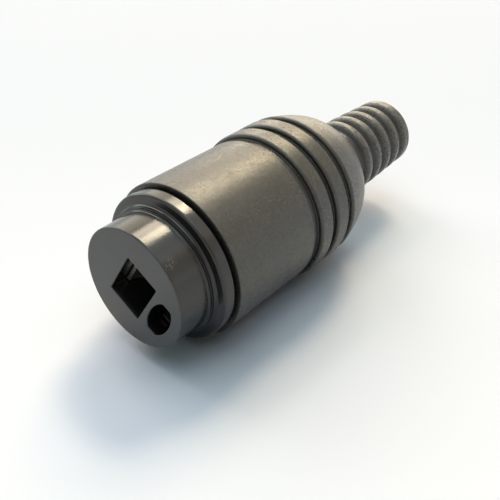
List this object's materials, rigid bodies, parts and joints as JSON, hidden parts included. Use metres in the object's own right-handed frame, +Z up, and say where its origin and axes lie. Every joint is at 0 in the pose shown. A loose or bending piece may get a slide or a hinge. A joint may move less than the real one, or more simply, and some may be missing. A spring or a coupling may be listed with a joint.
{
  "type": "loudspeaker cable socket",
  "caption": "In-line loudspeaker cable socket: round nose with a blade opening and an oval pin opening, flange, grooved hood and ribbed cable boot.",
  "frame": {"origin": "centre of the blade opening, on the mating face", "axes": "+Y along the connector's axis from the mating face to the cable boot, +Z up as it lies on a surface, +X to the right seen from the front"},
  "size_m": [0.0152, 0.0381, 0.0152],
  "materials": {
    "hood_plastic": "fine spark-eroded grain",
    "carrier_plastic": "satin gloss",
    "tinned_contact": "dull tin plate"
  },
  "bodies": {
    "hood": {"hood": "hood_plastic"},
    "insert": {"contact_carrier": "carrier_plastic", "blade_contact": "tinned_contact", "pin_contact": "tinned_contact"}
  },
  "joints": [
    {"name": "insert_draw", "type": "slide", "parent": "hood", "child": "insert", "axis": [0, -1, 0], "range_m": [0, 0.016]}
  ]
}
